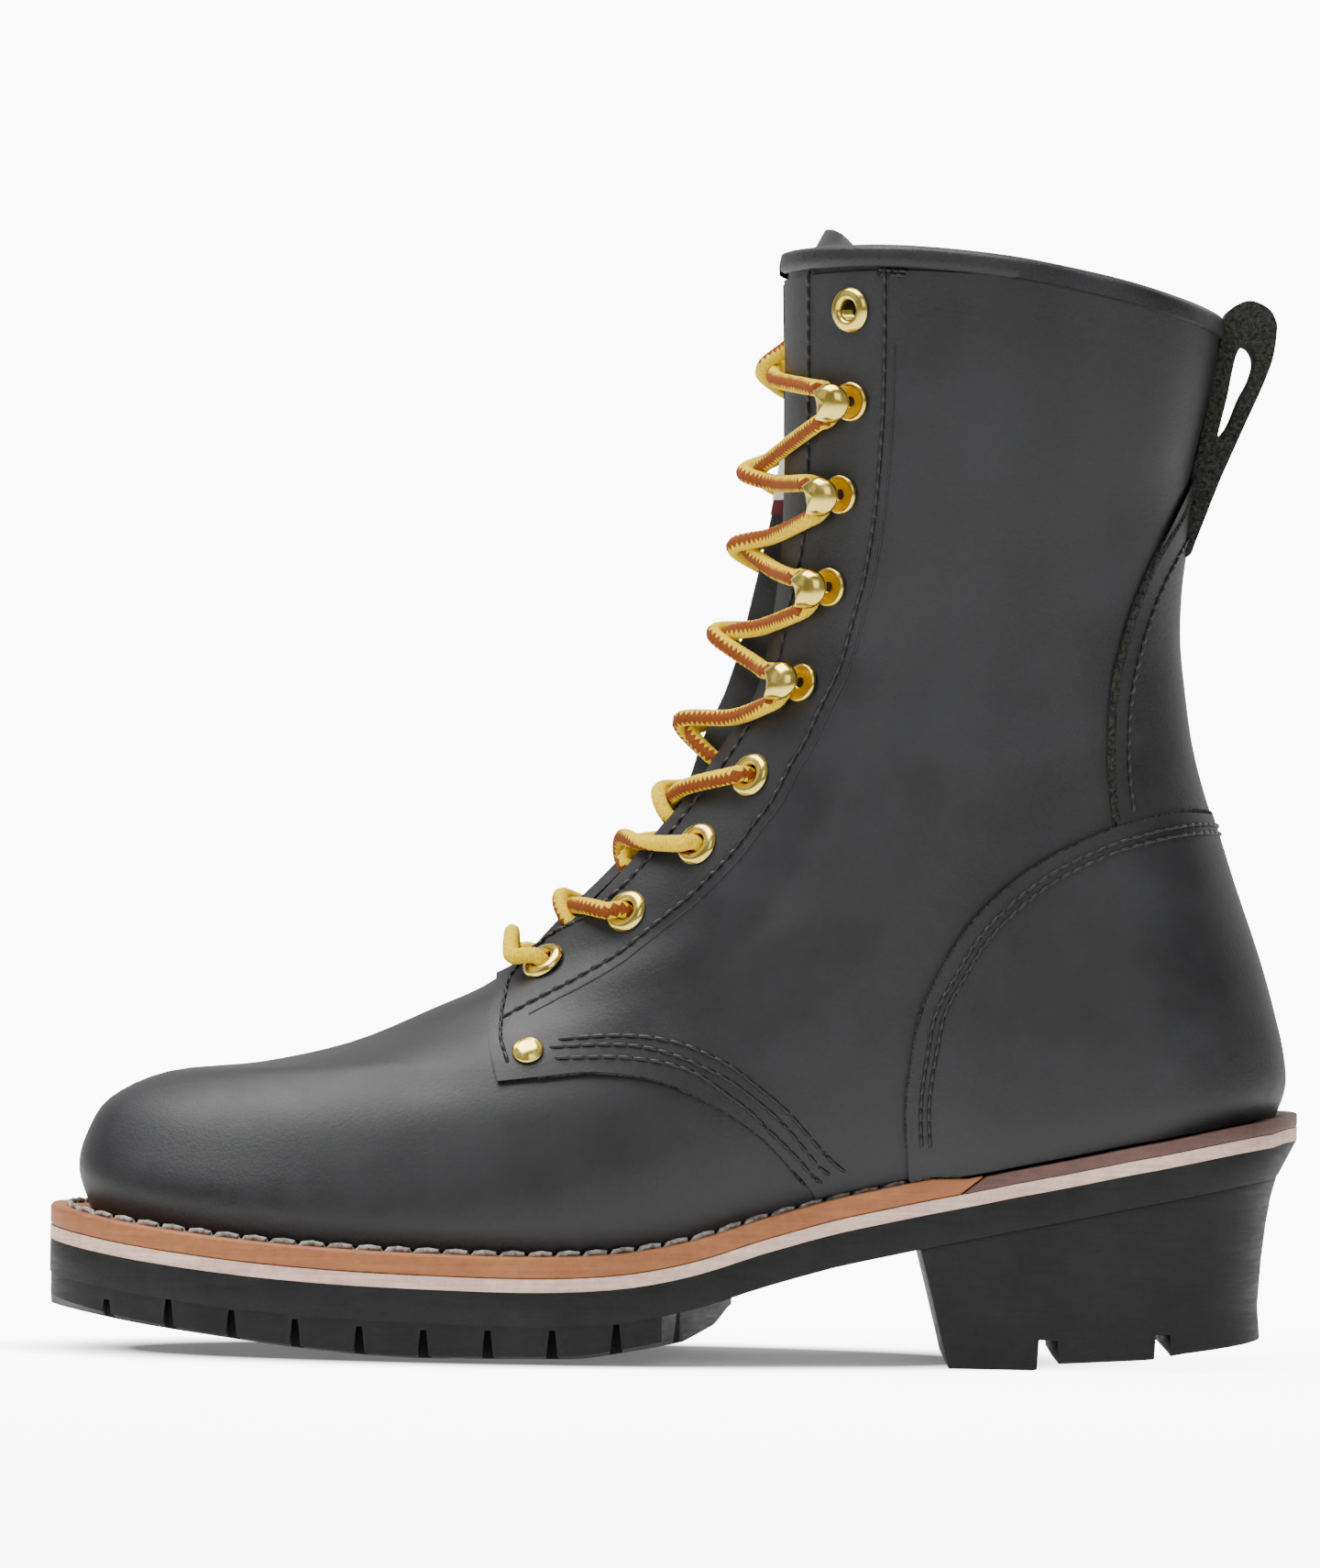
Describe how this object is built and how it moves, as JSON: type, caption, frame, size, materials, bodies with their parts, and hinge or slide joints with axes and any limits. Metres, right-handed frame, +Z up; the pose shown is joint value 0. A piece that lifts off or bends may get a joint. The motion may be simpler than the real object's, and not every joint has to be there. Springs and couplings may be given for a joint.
{
  "type": "logger boot",
  "caption": "lace-up work boot with a tall shaft, stitched welt, lugged sole and a high slanted heel block, standing empty on its sole",
  "frame": {"origin": "on the floor, below the middle of the boot's box", "axes": "toe towards -X, heel towards +X, inner side towards -Y, up is +Z"},
  "size_m": [0.3118, 0.11, 0.2829],
  "materials": {
    "leather": "waxed black smooth leather",
    "tan_leather": "oiled tan leather, cut edge",
    "pale_leather": "raw pale leather, cut edge",
    "dark_leather": "dark brown leather, cut edge",
    "board": "leather board",
    "rubber": "matt black rubber",
    "brass": "polished brass",
    "lace": "braided lace, yellow and brown"
  },
  "bodies": {
    "root": {"upper": "leather", "counter": "leather", "backstay": "leather", "tongue": "leather", "insole": "board", "welt": "tan_leather", "heel_rand": "dark_leather", "midsole": "pale_leather", "outsole": "rubber", "heel": "rubber", "eyelet_in_1": "brass", "eyelet_in_2": "brass", "eyelet_in_3": "brass", "eyelet_in_4": "brass", "eyelet_in_5": "brass", "eyelet_out_1": "brass", "eyelet_out_2": "brass", "eyelet_out_3": "brass", "eyelet_out_4": "brass", "eyelet_out_5": "brass", "hook_in_1": "brass", "hook_in_2": "brass", "hook_in_3": "brass", "hook_in_4": "brass", "hook_out_1": "brass", "hook_out_2": "brass", "hook_out_3": "brass", "hook_out_4": "brass", "rivet_in": "brass", "rivet_out": "brass", "lace_bar": "lace", "lace_cross_1": "lace", "lace_cross_2": "lace", "lace_cross_3": "lace", "lace_cross_4": "lace", "lace_cross_5": "lace", "lace_cross_6": "lace", "lace_cross_7": "lace", "lace_cross_8": "lace"}
  },
  "joints": []
}
